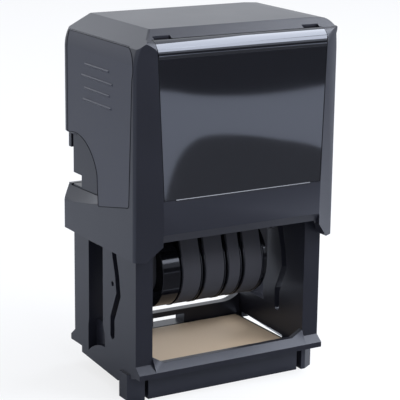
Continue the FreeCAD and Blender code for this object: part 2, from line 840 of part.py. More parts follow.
def cap_shell():
    """Cap moulding with its hollow, recesses, back slot, finger scoops and spring cups."""
    skin = cap_outline_solid()
    recesses = [panel_recess(skin), mirrored_x(panel_recess(mirrored_x(skin)))]
    body = skin.cut(cap_cavity()).cut(recesses + both_sides(scoop_cut()))
    recess_depth = card_depths()[1] + cover_gap
    body = body.cut(cover_layer(cover_prism(seam_gap), -overrun / 4, recess_depth))
    beyond = cap_half_depth + overrun
    back_gap = box(-scoop_end_half_width, scoop_end_half_width, cap_half_depth - cap_back_wall - overrun,
                   beyond, scoop_bottom, scoop_end_level)
    back_slot = box(-slot_half_width, slot_half_width, cap_half_depth - cap_back_wall - overrun, beyond,
                    scoop_bottom, slot_top)
    top_corners = edges_where(back_slot, lambda b: b.ZMin > slot_top - seam_gap and b.YLength > seam_gap)
    back_slot = back_slot.makeFillet(slot_corner_radius, top_corners)
    deep = -front_low_reach - overrun
    foot = apron_half_width + apron_spread
    right_arch = [(apron_half_width, apron_bottom), (foot, cap_bottom), (foot, cap_bottom - overrun)]
    arch = [(-x, z) for x, z in reversed(right_arch)] + right_arch
    arch_cut = along_y(arch, deep, inner_guide_y)
    front_y = front_face_y(front_low_level)
    bevel_y = front_y + apron_bevel
    bevel = [(front_y, front_low_level), (bevel_y, apron_bottom), (bevel_y, apron_bottom - overrun),
             (deep, apron_bottom - overrun), (deep, front_low_level)]
    bevel_cut = along_x(bevel, -apron_half_width, apron_half_width)
    clip = box(clip_notch_inner, clip_notch_outer, brow_y - clip_notch_depth, brow_y + clip_notch_depth,
               brow_level - seam_gap, brow_level + clip_notch_height)
    body = body.cut([back_gap, back_slot, arch_cut, bevel_cut] + both_sides(clip))
    roof_inside = total_height - cap_roof_wall
    cup_low = roof_inside - cup_height
    inner_radius = spring_mean_radius + spring_wire
    cup = rod_z(inner_radius + cup_wall, spring_offset_x, spring_offset_y, cup_low, roof_inside)
    cup = cup.cut(rod_z(inner_radius, spring_offset_x, spring_offset_y, cup_low - overrun, total_height))
    return joined([body] + both_sides(cup)).cut(both_sides(spigot(seam_gap)))


# Springs between the pad bridge and the cap's roof

def helix_point(turn, pitch):
    """Point and unit tangent of the spring's path after a number of turns."""
    angle = 2 * pi * turn
    point = Vector(spring_mean_radius * cos(angle), spring_mean_radius * sin(angle), pitch * turn)
    tangent = Vector(-spring_mean_radius * sin(angle), spring_mean_radius * cos(angle), pitch / (2 * pi))
    return point, tangent.normalize()


def coil_gap(pitch):
    """Least gap between points of the wire that are half a turn or more apart along it."""
    first = helix_point(0.0, pitch)[0]
    steps = [helix_point(index / coil_steps, pitch)[0] for index in range(coil_steps // 2, coil_steps * 2)]
    return min((point - first).Length for point in steps) - spring_wire


def biarc(start, end):
    """Two tangent arcs from one point and tangent to the next."""
    (p0, t0), (p1, t1) = start, end
    chord = p1 - p0
    both = t0 + t1
    a = both.dot(both) - 4
    b = -2 * chord.dot(both)
    reach = (-b - (b * b - 4 * a * chord.dot(chord)) ** 0.5) / (2 * a)
    joint = (p0 + t0 * reach + p1 - t1 * reach) / 2
    arcs = []
    for first, corner, last in ((p0, p0 + t0 * reach, joint), (joint, p1 - t1 * reach, p1)):
        middle = (first + last) / 2
        half = (last - first).Length / 2
        rise = (corner - middle).Length
        sag = half * (hypot(half, rise) - half) / rise
        bow = middle + (corner - middle).normalize() * sag
        arcs.append(Part.Arc(first, bow, last).toShape())
    return arcs


def return_springs():
    """Two compression springs, each one coiled wire."""
    low = frame_top + spring_wire / 2 + spring_end_gap
    high = total_height - cap_roof_wall - spring_wire / 2 - spring_end_gap
    pitch = (high - low) / spring_turns
    print(f"return_springs: least gap between turns {coil_gap(pitch):.2f} mm")
    edges = []
    here = helix_point(0.0, pitch)
    for quarter in range(round(spring_turns * quarters)):
        there = helix_point((quarter + 1) / quarters, pitch)
        edges += biarc(here, there)
        here = there
    point, tangent = helix_point(0.0, pitch)
    section = Part.Wire([Part.makeCircle(spring_wire / 2, point, tangent)])
    coil = Part.Wire(edges).makePipeShell([section], True)
    springs = []
    for side in (-1, 1):
        spring = coil.copy()
        spring.translate(Vector(side * spring_offset_x, spring_offset_y, low))
        springs.append(spring)
    return Part.makeCompound(springs)


# Axle brackets and type carriage

def bracket_faces():
    """X of a bracket's inner and outer face on the right."""
    outer = wall_inner - slide_gap
    return outer - bracket_thickness, outer


def spigot(grow=0.0):
    """Square spigot of the right bracket, which snaps into the cap's wall."""
    low = axle_height - bracket_low + lug_bottom_rise + spigot_inset
    high = axle_height + bracket_high - spigot_inset
    return box(cap_inner - (overrun if grow else 0), cap_inner + spigot_depth + grow,
               lug_front_y + spigot_inset - grow, bracket_back_y - spigot_inset + grow,
               low - grow, high + grow)


def axle_bracket():
    """Right bracket: a plate inside the frame, a lug through the guide slot and a spigot."""
    inner, outer = bracket_faces()
    low = axle_height - bracket_low
    high = axle_height + bracket_high
    plate = box(inner, outer, bracket_front_y, bracket_back_y, low, high)
    upright = edges_where(plate, lambda b: b.XLength > bracket_thickness / 2)
    plate = plate.makeFillet(bracket_thickness / 2, upright)
    lug = box(outer - bracket_thickness / 2, cap_inner, lug_front_y, bracket_back_y,
              low + lug_bottom_rise, high)
    bore = rod_x(pin_radius + running_gap, inner - overrun, outer + overrun, 0, axle_height)
    return joined([plate, lug, spigot()]).cut(bore)


def pivot_pins():
    """Two pins pressed into the carriage, one for each bracket."""
    inner, outer = bracket_faces()
    pin = rod_x(pin_radius, inner - carriage_gap - pin_length_in, outer - seam_gap, 0, axle_height)
    return Part.makeCompound(both_sides(pin))


def carriage_frame():
    """Carriage: platform, two pivot cheeks and two wheel cheeks."""
    edge = bracket_faces()[0] - carriage_gap
    top = axle_height + platform_rise
    under = top - platform_thickness
    platform = box(-edge, edge, -platform_half_depth, platform_half_depth, under, top)
    corners = edges_where(platform, lambda b: b.ZLength > platform_thickness / 2)
    platform = platform.makeFillet(platform_thickness, corners)
    window = box(-wheel_cheek_inner, wheel_cheek_inner, -type_window_half_depth, type_window_half_depth,
                 under - overrun, top + overrun)
    low = axle_height - cheek_low
    cheek = box(edge - cheek_thickness, edge, -cheek_half_depth, cheek_half_depth, low, under)
    rounded = edges_where(cheek, lambda b: b.ZMax < low + seam_gap and b.XLength > cheek_thickness / 2)
    cheek = cheek.makeFillet(cheek_half_depth / 2, rounded)
    bore = rod_x(pin_radius, edge - pin_length_in, edge + overrun, 0, axle_height)
    arm_boss = rod_x(cheek_low, edge - pin_length_in, edge, 0, axle_height)
    wheel_cheek_outer = wheel_cheek_inner + wheel_cheek_thickness
    cheek_plate = box(wheel_cheek_inner, wheel_cheek_outer, -wheel_cheek_half_depth, wheel_cheek_half_depth,
                      axle_height, under)
    leg = [(-wheel_cheek_half_depth, axle_height), (-wheel_boss_radius, wheel_level),
           (wheel_boss_radius, wheel_level), (wheel_cheek_half_depth, axle_height)]
    boss = rod_x(wheel_boss_radius, wheel_cheek_inner, wheel_cheek_outer, 0, wheel_level)
    wheel_cheek = joined([cheek_plate, along_x(leg, wheel_cheek_inner, wheel_cheek_outer), boss])
    wheel_bore = rod_x(wheel_axle_radius, wheel_cheek_inner - overrun,
                       wheel_cheek_outer + overrun, 0, wheel_level)
    side = joined([cheek, arm_boss, wheel_cheek]).cut([bore, wheel_bore])
    return joined([platform.cut(window)] + both_sides(side))


def wheel_spans():
    """X of the left and right face of each thumbwheel."""
    spans = []
    left = wheels_left
    for share in wheel_width_shares:
        right = left + wheel_width * share
        spans.append((left, right))
        left = right + wheel_gap
    return spans


def thumbwheel(left, right):
    """Flanged wheel that drives one band."""
    hub = rod_x(wheel_hub_radius, left, right, 0, wheel_level)
    flanges = []
    for x in (left, right - wheel_flange):
        disc = rod_x(wheel_radius, x, x + wheel_flange, 0, wheel_level)
        flanges.append(disc.makeFillet(wheel_edge_radius, edges_where(disc, lambda b: b.XLength < seam_gap)))
    bore = rod_x(wheel_axle_radius + running_gap, left - overrun, right + overrun, 0, wheel_level)
    return joined([hub] + flanges).cut(bore)


def loop_outline(grow):
    """Band's loop in the side view: round the wheel and over the nose, moved out by a distance."""
    radius = wheel_hub_radius + band_gap + grow
    top = axle_height + nose_height - band_thickness + grow
    half = nose_half_depth - band_thickness + grow
    corner = nose_corner_radius + grow
    rise = top - corner - wheel_level
    reach = half - corner
    angle = tangent_angle(radius - corner, reach, rise)
    dy, dz = angle
    wheel_side = (radius * dy, wheel_level + radius * dz)
    nose_side = (reach + corner * dy, top - corner + corner * dz)
    bend = hypot(dy, dz + 1)
    nose_bow = (reach + corner * dy / bend, top - corner + corner * (dz + 1) / bend)
    flip = lambda point: (-point[0], point[1])
    return [wheel_side, nose_side, (nose_bow, (reach, top)), (-reach, top),
            (flip(nose_bow), flip(nose_side)), flip(wheel_side),
            ((0, wheel_level - radius), wheel_side)]


def tangent_angle(difference, reach, rise):
    """Normal of the straight run that touches the wheel's circle and the nose's corner circle."""
    distance = hypot(reach, rise)
    along = difference / distance
    across = (1 - along * along) ** 0.5
    uy, uz = reach / distance, rise / distance
    return along * uy + across * uz, along * uz - across * uy


def loop_solid(grow, left, right):
    """Solid inside a band's loop outline."""
    points = in_side_view(loop_outline(grow), left)
    return Part.Face(wire_of(points, closed=False)).extrude(Vector(right - left, 0, 0))


def printing_band(left, right):
    """Rubber band round one wheel and over the nose."""
    a = left + wheel_flange + band_side_gap
    b = right - wheel_flange - band_side_gap
    return loop_solid(band_thickness, a, b).cut(loop_solid(0.0, a - overrun, b + overrun))


def middle_slice(left, right):
    """X of both faces of a separator in the middle between two wheels."""
    middle = (left + right) / 2
    return middle - separator_thickness / 2, middle + separator_thickness / 2


def band_guide():
    """Core inside the bands, which carries the type line at the nose."""
    low = axle_height + guide_core_low
    spans = wheel_spans()
    core = loop_solid(-guide_clear, -wheel_cheek_inner, wheel_cheek_inner)
    keep = box(-wheel_cheek_inner, wheel_cheek_inner, -wheel_radius, wheel_radius, low, total_height)
    core = core.common(keep)
    blades = []
    for (_, left), (right, _) in zip(spans, spans[1:]):
        x0, x1 = middle_slice(left, right)
        blades.append(loop_solid(band_thickness / 2, x0, x1).common(keep))
    return joined([core] + blades)


def wheel_separators():
    """Thin discs on the wheel axle, between the thumbwheels."""
    discs = []
    spans = wheel_spans()
    for (_, left), (right, _) in zip(spans, spans[1:]):
        discs.append(drilled_disc(separator_radius, *middle_slice(left, right)))
    return Part.makeCompound(discs)


def drilled_disc(radius, x0, x1):
    """Disc on the wheel axle."""
    bore = rod_x(wheel_axle_radius, x0 - overrun, x1 + overrun, 0, wheel_level)
    return rod_x(radius, x0, x1, 0, wheel_level).cut(bore)


def end_collars():
    """Smooth collars between the wheel cheeks and the outer thumbwheels."""
    first_left = wheel_spans()[0][0]
    last_right = wheel_spans()[-1][1]
    edge = wheel_cheek_inner - seam_gap
    return Part.makeCompound([drilled_disc(collar_radius, -edge, first_left - collar_gap),
                              drilled_disc(collar_radius, last_right + collar_gap, edge)])


def wheel_axle():
    """Steel rod through the wheel cheeks and the thumbwheels."""
    end = wheel_cheek_inner + wheel_cheek_thickness
    return rod_x(wheel_axle_radius, -end, end, 0, wheel_level)


def main():
    """Build and write every piece."""
    os.makedirs("parts", exist_ok=True)
    emit("base_frame", base_frame())
    emit("text_plate", text_plate())
    emit("plate_sheet", plate_sheet())
    emit("pad_bridge", pad_bridge())
    emit("ink_pad_tray", ink_pad_tray())
    emit("ink_pad", ink_pad())
    emit("return_springs", return_springs())
    emit("cap_shell", cap_shell())
    emit("right_grip_panel", grip_panel(cap_outline_solid()))
    emit("left_grip_panel", mirrored_x(grip_panel(mirrored_x(cap_outline_solid()))))
    emit("window_cover", window_cover())
    emit("index_card", index_card())
    bracket = axle_bracket()
    emit("right_axle_bracket", bracket)
    emit("left_axle_bracket", mirrored_x(bracket))
    emit("pivot_pins", pivot_pins())
    emit("carriage_frame", carriage_frame())
    emit("band_guide", band_guide())
    emit("wheel_axle", wheel_axle())
    emit("wheel_separators", wheel_separators())
    emit("end_collars", end_collars())
    for name, (left, right) in zip(wheel_names, wheel_spans()):
        emit(name + "_wheel", thumbwheel(left, right))
        emit(name + "_band", printing_band(left, right))


main()
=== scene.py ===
"""Looks of a self-inking date and time stamp machine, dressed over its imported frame."""
import logging
import math
from collections.abc import Callable
from dataclasses import dataclass
from enum import Enum

import bmesh
import bpy
from mathutils import Matrix, Vector


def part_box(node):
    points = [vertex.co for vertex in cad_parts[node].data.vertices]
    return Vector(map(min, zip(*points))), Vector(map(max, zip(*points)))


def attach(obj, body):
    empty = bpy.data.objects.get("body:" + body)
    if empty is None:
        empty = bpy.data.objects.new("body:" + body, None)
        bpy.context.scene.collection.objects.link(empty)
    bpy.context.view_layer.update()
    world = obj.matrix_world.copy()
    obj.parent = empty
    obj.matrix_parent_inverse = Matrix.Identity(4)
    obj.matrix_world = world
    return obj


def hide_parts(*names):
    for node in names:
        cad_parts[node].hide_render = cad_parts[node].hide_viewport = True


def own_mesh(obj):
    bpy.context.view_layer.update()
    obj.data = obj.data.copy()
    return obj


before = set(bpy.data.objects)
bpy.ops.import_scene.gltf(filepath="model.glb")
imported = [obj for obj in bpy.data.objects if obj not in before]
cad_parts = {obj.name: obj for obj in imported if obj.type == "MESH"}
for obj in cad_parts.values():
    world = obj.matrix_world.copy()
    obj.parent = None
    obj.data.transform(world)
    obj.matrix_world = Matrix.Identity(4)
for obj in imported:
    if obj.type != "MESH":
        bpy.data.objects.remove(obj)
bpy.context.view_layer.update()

MM = 0.001
LOG = logging.getLogger("stamp_machine")

Colour = tuple[float, float, float]
Place = tuple[float, float, float]

# A CAD mesh's vertices are joined under this distance in millimetres, its faces under this angle in degrees
MERGE_DISTANCE = 0.0005
FLAT_ANGLE = 0.5
# Angles in degrees over which an edge of a moulding is rounded, and over which an edge stays sharp
ROUNDED_ANGLE = 30.0
MOULDING_CREASE = 24.0
LINE_CREASE = 60.0
# Cosine over which two directions count as the same
ALIKE = 0.9


class Body(Enum):
    """Rigid bodies that pieces ride on."""

    FRAME = "frame"
    CAP = "cap"
    CARRIAGE = "carriage"
    PAD_TRAY = "pad_tray"


class Dial(Enum):
    """The four thumbwheels, from left to right."""

    HOUR = "hour"
    DAY = "day"
    MONTH = "month"
    YEAR = "year"


# Node graphs

class Graph:
    """A node tree that is being wired."""

    def __init__(self, tree: bpy.types.NodeTree) -> None:
        """Start on a tree.

        Args:
            tree: The tree that gets the nodes.
        """
        self.tree = tree

    def add(self, kind: str, **settings: object) -> bpy.types.Node:
        """Add a node.

        Args:
            kind: Blender's name of the node's type.
            **settings: Attributes of the node, and values of its input sockets by name, with underscores
                for spaces.

        Returns:
            The new node.
        """
        node = self.tree.nodes.new(kind)
        for key, value in settings.items():
            if hasattr(node, key):
                setattr(node, key, value)
            else:
                node.inputs[key.replace("_", " ")].default_value = value
        return node

    def join(self, output: bpy.types.NodeSocket, target: bpy.types.NodeSocket) -> None:
        """Link two sockets.

        Args:
            output: Output socket of one node.
            target: Input socket of another.
        """
        self.tree.links.new(output, target)

    def number(self, operation: str, first: object, second: object = None) -> bpy.types.NodeSocket:
        """Add a Math node.

        Args:
            operation: Name of the operation.
            first: A socket or a number.
            second: A socket or a number, or None.

        Returns:
            The node's output.
        """
        node = self.tree.nodes.new("ShaderNodeMath")
        node.operation = operation
        for index, value in enumerate((first, second)):
            if isinstance(value, bpy.types.NodeSocket):
                self.join(value, node.inputs[index])
            elif value is not None:
                node.inputs[index].default_value = value
        return node.outputs[0]

    def mixed(self, share: bpy.types.NodeSocket, first: bpy.types.Node,
              second: bpy.types.Node) -> bpy.types.NodeSocket:
        """Mix two shaders.

        Args:
            share: Share of the second shader.
            first: Node of the first shader.
            second: Node of the second shader.

        Returns:
            The mixed shader.
        """
        mix = self.add("ShaderNodeMixShader")
        for index, source in enumerate((share, first.outputs[0], second.outputs[0])):
            self.join(source, mix.inputs[index])
        return mix.outputs[0]

    def round_line(self, path: bpy.types.NodeSocket, width: bpy.types.NodeSocket,
                   sides: int) -> bpy.types.NodeSocket:
        """Sweep a circle along a curve.

        Args:
            path: The curve.
            width: Diameter of the circle.
            sides: Faces round the line.

        Returns:
            The line's mesh, closed at its ends.
        """
        section = self.add("GeometryNodeCurvePrimitiveCircle", Resolution=sides)
        self.join(self.number("DIVIDE", width, 2.0), section.inputs["Radius"])
        line = self.add("GeometryNodeCurveToMesh", Fill_Caps=True)
        self.join(path, line.inputs["Curve"])
        self.join(section.outputs["Curve"], line.inputs["Profile Curve"])
        return line.outputs["Mesh"]

    def put_out(self, geometry: bpy.types.NodeSocket, given: bpy.types.Node, out: bpy.types.Node) -> None:
        """Realize a geometry, give it the tree's finish and put it out.

        Args:
            geometry: The finished geometry.
            given: The tree's input node.
            out: Its output node.
        """
        real = self.add("GeometryNodeRealizeInstances")
        self.join(geometry, real.inputs["Geometry"])
        dressed = self.add("GeometryNodeSetMaterial")
        self.join(real.outputs["Geometry"], dressed.inputs["Geometry"])
        self.join(given.outputs["Finish"], dressed.inputs["Material"])
        self.join(dressed.outputs["Geometry"], out.inputs["Geometry"])


def sockets(tree: bpy.types.NodeTree, way: str, *rows: tuple[str, str]) -> None:
    """Give a group its named sockets.

    Args:
        tree: The group.
        way: INPUT or OUTPUT.
        *rows: Name and socket type.
    """
    for name, kind in rows:
        tree.interface.new_socket(name=name, in_out=way, socket_type=kind)


class ShaderGroups:
    """Shader effects that several finishes share, each built once."""

    @staticmethod
    def once(name: str, build: Callable[[bpy.types.NodeTree], None]) -> bpy.types.NodeTree:
        """Return the group with a name, and build it the first time.

        Args:
            name: The group's name.
            build: Function that fills the new, empty group.

        Returns:
            The group.
        """
        found = bpy.data.node_groups.get(name)
        if found is None:
            found = bpy.data.node_groups.new(name, "ShaderNodeTree")
            build(found)
        return found

    @staticmethod
    def moulded_grain(tree: bpy.types.NodeTree) -> None:
        """Fill a group with the fine skin of moulded plastic: a height, and a slow drift of tone.

        Args:
            tree: The empty group.
        """
        sockets(tree, "INPUT", ("Grain Size", "NodeSocketFloat"), ("Drift Size", "NodeSocketFloat"))
        sockets(tree, "OUTPUT", ("Height", "NodeSocketFloat"), ("Drift", "NodeSocketFloat"))
        g = Graph(tree)
        given, out = g.add("NodeGroupInput"), g.add("NodeGroupOutput")
        place = g.add("ShaderNodeTexCoord").outputs["Object"]
        fine = g.add("ShaderNodeTexNoise", Detail=3.0, Roughness=0.6)
        g.join(place, fine.inputs["Vector"])
        g.join(g.number("DIVIDE", 1.0 / MM, given.outputs["Grain Size"]), fine.inputs["Scale"])
        slow = g.add("ShaderNodeTexNoise", Detail=2.0, Roughness=0.5)
        g.join(place, slow.inputs["Vector"])
        g.join(g.number("DIVIDE", 1.0 / MM, given.outputs["Drift Size"]), slow.inputs["Scale"])
        g.join(fine.outputs["Fac"], out.inputs["Height"])
        g.join(slow.outputs["Fac"], out.inputs["Drift"])

    @staticmethod
    def two_tones(tree: bpy.types.NodeTree) -> None:
        """Fill a group that mixes a dark and a light tone by a mask, and a low and a high roughness with it.

        The Mix node's sockets are taken by number, because their names repeat.

        Args:
            tree: The empty group.
        """
        sockets(tree, "INPUT", ("Mask", "NodeSocketFloat"), ("Dark", "NodeSocketColor"),
                ("Light", "NodeSocketColor"), ("Rough Low", "NodeSocketFloat"),
                ("Rough High", "NodeSocketFloat"))
        sockets(tree, "OUTPUT", ("Color", "NodeSocketColor"), ("Roughness", "NodeSocketFloat"))
        g = Graph(tree)
        given, out = g.add("NodeGroupInput"), g.add("NodeGroupOutput")
        mix = g.add("ShaderNodeMix", data_type="RGBA")
        g.join(given.outputs["Mask"], mix.inputs[0])
        g.join(given.outputs["Dark"], mix.inputs[6])
        g.join(given.outputs["Light"], mix.inputs[7])
        span = g.number("SUBTRACT", given.outputs["Rough High"], given.outputs["Rough Low"])
        rough = g.number("MULTIPLY_ADD", given.outputs["Mask"], span)
        g.join(given.outputs["Rough Low"], rough.node.inputs[2])
        g.join(mix.outputs[2], out.inputs["Color"])
        g.join(rough, out.inputs["Roughness"])


# Finishes

def opaque(colour: Colour) -> tuple[float, float, float, float]:
    """Give a colour full alpha.

    Args:
        colour: The colour.

    Returns:
        Its four channels.
    """
    return (*colour, 1.0)


def lighter(colour: Colour, factor: float) -> Colour:
    """Multiply a colour.

    Args:
        colour: The colour.
        factor: What each channel is multiplied by.

    Returns:
        The new colour.
    """
    return tuple(channel * factor for channel in colour)


@dataclass(frozen=True)
class Finish:
    """A surface finish: two near tones, a roughness span and a fine skin."""

    name: str
    colour: Colour
    drift: float = 1.12
    rough_low: float = 0.4
    rough_high: float = 0.48
    grain_size: float = 0.3
    grain_depth: float = 0.006
    drift_size: float = 20.0
    specular: float = 0.5
    gleam: Colour = (0.84, 0.88, 1.0)

    def material(self) -> bpy.types.Material:
        """Build the material the first time.

        Returns:
            The material with this finish's name.
        """
        found = bpy.data.materials.get(self.name)
        if found is not None:
            return found
        made = bpy.data.materials.new(self.name)
        made.use_nodes = True
        g = Graph(made.node_tree)
        shader = made.node_tree.nodes["Principled BSDF"]
        shader.inputs["Specular IOR Level"].default_value = self.specular
        shader.inputs["Specular Tint"].default_value = opaque(self.gleam)
        self.skin(g, shader)
        self.dress(g, shader)
        return made

    def skin(self, g: Graph, shader: bpy.types.Node) -> None:
        """Wire colour, roughness and bump from the shared groups.

        Args:
            g: The material's graph.
            shader: Its Principled BSDF.
        """
        grain = g.add("ShaderNodeGroup",
                      node_tree=ShaderGroups.once("moulded_grain", ShaderGroups.moulded_grain))
        grain.inputs["Grain Size"].default_value = self.grain_size
        grain.inputs["Drift Size"].default_value = self.drift_size
        tones = g.add("ShaderNodeGroup", node_tree=ShaderGroups.once("two_tones", ShaderGroups.two_tones))
        tones.inputs["Dark"].default_value = opaque(lighter(self.colour, 1 / self.drift))
        tones.inputs["Light"].default_value = opaque(lighter(self.colour, self.drift))
        tones.inputs["Rough Low"].default_value = self.rough_low
        tones.inputs["Rough High"].default_value = self.rough_high
        g.join(grain.outputs["Drift"], tones.inputs["Mask"])
        g.join(tones.outputs["Color"], shader.inputs["Base Color"])
        g.join(tones.outputs["Roughness"], shader.inputs["Roughness"])
        bump = g.add("ShaderNodeBump", Strength=1.0, Distance=self.grain_depth * MM)
        g.join(grain.outputs["Height"], bump.inputs["Height"])
        g.join(bump.outputs["Normal"], shader.inputs["Normal"])

    def dress(self, g: Graph, shader: bpy.types.Node) -> None:
        """Set what only this kind of finish has; plain plastic has nothing more.

        Args:
            g: The material's graph.
            shader: Its Principled BSDF.
        """


@dataclass(frozen=True)
class Polished(Finish):
    """Glossy plastic with a clear, hard skin."""

    coat: float = 0.5
    coat_roughness: float = 0.02

    def dress(self, g: Graph, shader: bpy.types.Node) -> None:
        """Add the clear skin.

        Args:
            g: The material's graph.
            shader: Its Principled BSDF.
        """
        shader.inputs["Coat Weight"].default_value = self.coat
        shader.inputs["Coat Roughness"].default_value = self.coat_roughness


@dataclass(frozen=True)
class Steel(Finish):
    """Drawn or turned steel."""

    def dress(self, g: Graph, shader: bpy.types.Node) -> None:
        """Make it a metal.

        Args:
            g: The material's graph.
            shader: Its Principled BSDF.
        """
        shader.inputs["Metallic"].default_value = 1.0


@dataclass(frozen=True)
class Felt(Finish):
    """Inked felt with a soft nap."""

    nap: float = 0.25
    nap_roughness: float = 0.5

    def dress(self, g: Graph, shader: bpy.types.Node) -> None:
        """Add the nap's sheen.

        Args:
            g: The material's graph.
            shader: Its Principled BSDF.
        """
        shader.inputs["Sheen Weight"].default_value = self.nap
        shader.inputs["Sheen Roughness"].default_value = self.nap_roughness


FRAME_PLASTIC = Finish("satin_frame_plastic", (0.013, 0.0135, 0.0195), rough_low=0.27, rough_high=0.33,
                       specular=0.36)
CAP_PLASTIC = Finish("satin_cap_plastic", (0.014, 0.0145, 0.021), rough_low=0.3, rough_high=0.36,
                     specular=0.45)
PANEL_PLASTIC = Finish("matt_grip_panel", (0.027, 0.028, 0.04), rough_low=0.38, rough_high=0.44,
                       grain_size=0.22)
COVER_PLASTIC = Finish("glossy_window_cover", (0.005, 0.0052, 0.0075), rough_low=0.03, rough_high=0.05,
                       grain_depth=0.0001, drift_size=30.0, specular=1.0)
# Near-black colour of the seam lines: painted shade of the gaps round the parts let into the cap
SEAM_SHADE = Finish("seam_shade", (0.002, 0.002, 0.0026), rough_low=0.6, rough_high=0.7, specular=0.15)
SILL_PLASTIC = Polished("glossy_sill", (0.016, 0.0165, 0.022), rough_low=0.18, rough_high=0.24,
                        grain_depth=0.0002)
CARD = Finish("black_card", (0.01, 0.01, 0.011), rough_low=0.6, rough_high=0.7)
# Plastic of the inner parts: a dark plastic, darkened further as painted shade of the inside of the cap
INNER_PLASTIC_WITH_PAINTED_SHADE = Finish("inner_plastic", (0.007, 0.0072, 0.0105), rough_low=0.26, rough_high=0.34,
                       specular=0.35)
DIAL_PLASTIC = Finish("dial_plastic", (0.006, 0.0062, 0.009), rough_low=0.2, rough_high=0.26, specular=0.4)
COLLAR_PLASTIC = Finish("glossy_collar", (0.003, 0.003, 0.0042), rough_low=0.08, rough_high=0.12,
                        grain_depth=0.001, specular=0.3)
# Black rubber of the bands, darkened further as painted shade of the drum inside the cap
BAND_RUBBER_WITH_PAINTED_SHADE = Finish("band_rubber", (0.005, 0.0052, 0.0075), rough_low=0.2, rough_high=0.26,
                     grain_depth=0.003, specular=0.3)
TRAY_PLASTIC = Finish("tray_plastic", (0.014, 0.0143, 0.018), rough_low=0.36, rough_high=0.42)
PAD_FELT = Felt("inked_felt", (0.008, 0.008, 0.02), rough_low=0.85, rough_high=0.95, grain_size=0.35,
                grain_depth=0.08)
PLATE_PLASTIC = Finish("dark_plate", (0.03, 0.027, 0.024), rough_low=0.42, rough_high=0.5, grain_depth=0.004)
# Tan of the sheet, lightened above its own tone as painted light against the shade it lies in under the
# carriage
SHEET_WITH_PAINTED_LIGHT = Finish("tan_sheet_with_painted_light", (0.62, 0.48, 0.34), drift=1.03, rough_low=0.5, rough_high=0.56, grain_depth=0.004)
SPRING_STEEL = Steel("drawn_spring_wire", (0.42, 0.42, 0.44), rough_low=0.24, rough_high=0.34)
PIN_STEEL = Steel("turned_pin_steel", (0.45, 0.45, 0.46), rough_low=0.2, rough_high=0.3)


# Pieces

def linked(name: str, data: bpy.types.ID) -> bpy.types.Object:
    """Make an object and link it to the scene.

    Args:
        name: Name of the object.
        data: Its mesh, camera or light.

    Returns:
        The object, at the origin.
    """
    made = bpy.data.objects.new(name, data)
    bpy.context.scene.collection.objects.link(made)
    return made


def publish(piece: bpy.types.Object, body: str, nodes: tuple[str, ...]) -> bpy.types.Object:
    """Put a finished piece on its body in place of CAD nodes.

    Args:
        piece: The finished object.
        body: Name of the rigid body that carries it.
        nodes: Names of the CAD nodes that it stands for.

    Returns:
        The piece.
    """
    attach(piece, body)
    if nodes:
        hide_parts(*nodes)
    LOG.info("%s: %d faces on %s", piece.name, len(piece.data.polygons), body)
    return piece


def new_piece(name: str, mesh: bpy.types.Mesh, finish: Finish) -> bpy.types.Object:
    """Make an object at the origin, with one material.

    Args:
        name: Name of the piece.
        mesh: Its mesh, in the row frame.
        finish: Its finish.

    Returns:
        The linked object.
    """
    mesh.materials.clear()
    mesh.materials.append(finish.material())
    return linked(name, mesh)


def baked(piece: bpy.types.Object, crease: float) -> bpy.types.Object:
    """Turn a piece's modifiers into plain mesh and shade it smooth, with its flat faces flat.

    Args:
        piece: Object with live modifiers.
        crease: Angle in degrees over which an edge stays sharp.

    Returns:
        The same object.
    """
    applied(piece)
    piece.data.shade_smooth()
    piece.data.set_sharp_from_angle(angle=math.radians(crease))
    flattened = piece.modifiers.new("flat_faces", "WEIGHTED_NORMAL")
    flattened.keep_sharp = True
    return applied(piece)


def applied(piece: bpy.types.Object) -> bpy.types.Object:
    """Put a piece's evaluated mesh in the place of its modifiers.

    Args:
        piece: Object with live modifiers.

    Returns:
        The same object.
    """
    graph = bpy.context.evaluated_depsgraph_get()
    mesh = bpy.data.meshes.new_from_object(piece.evaluated_get(graph))
    old = piece.data
    piece.modifiers.clear()
    piece.data = mesh
    bpy.data.meshes.remove(old)
    return piece


def merged_copy(node: str) -> bpy.types.Mesh:
    """Copy a CAD node's mesh with its doubles merged and its flat triangles joined.

    Args:
        node: Name of the CAD node.

    Returns:
        The new mesh.
    """
    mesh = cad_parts[node].data.copy()
    shape = bmesh.new()
    shape.from_mesh(mesh)
    bmesh.ops.remove_doubles(shape, verts=shape.verts, dist=MERGE_DISTANCE * MM)
    bmesh.ops.dissolve_limit(shape, angle_limit=math.radians(FLAT_ANGLE), verts=shape.verts,
                             edges=shape.edges)
    shape.to_mesh(mesh)
    shape.free()
    return mesh


def softened(name: str, node: str, finish: Finish, rounding: float) -> bpy.types.Object:
    """Make a piece from a CAD node, with the small rounding that a moulding's edges have.

    Args:
        name: Name of the piece.
        node: CAD node that it is made from.
        finish: Its finish.
        rounding: Width of the rounding in millimetres.

    Returns:
        The piece.
    """
    piece = new_piece(name, merged_copy(node), finish)
    bevel = piece.modifiers.new("rounding", "BEVEL")
    bevel.width = rounding * MM
    bevel.segments = 2
    bevel.limit_method = "ANGLE"
    bevel.angle_limit = math.radians(ROUNDED_ANGLE)
    bevel.use_clamp_overlap = True
    return baked(piece, MOULDING_CREASE)


@dataclass
class Base:
    """Frame moulding with the text plate in its base."""

    edge_rounding: float = 0.22
    plate_rounding: float = 0.15
    sheet_rounding: float = 0.05

    def build(self) -> None:
        """Make and place the frame's pieces."""
        body = Body.FRAME.value
        publish(softened("frame_moulding", "base_frame", FRAME_PLASTIC, self.edge_rounding), body,
                ("base_frame",))
        publish(softened("pad_bridge_moulding", "pad_bridge", FRAME_PLASTIC, self.edge_rounding), body,
                ("pad_bridge",))
        publish(softened("blank_text_plate", "text_plate", PLATE_PLASTIC, self.plate_rounding), body,
                ("text_plate",))
        publish(softened("blank_sheet", "plate_sheet", SHEET_WITH_PAINTED_LIGHT, self.sheet_rounding), body,
                ("plate_sheet",))


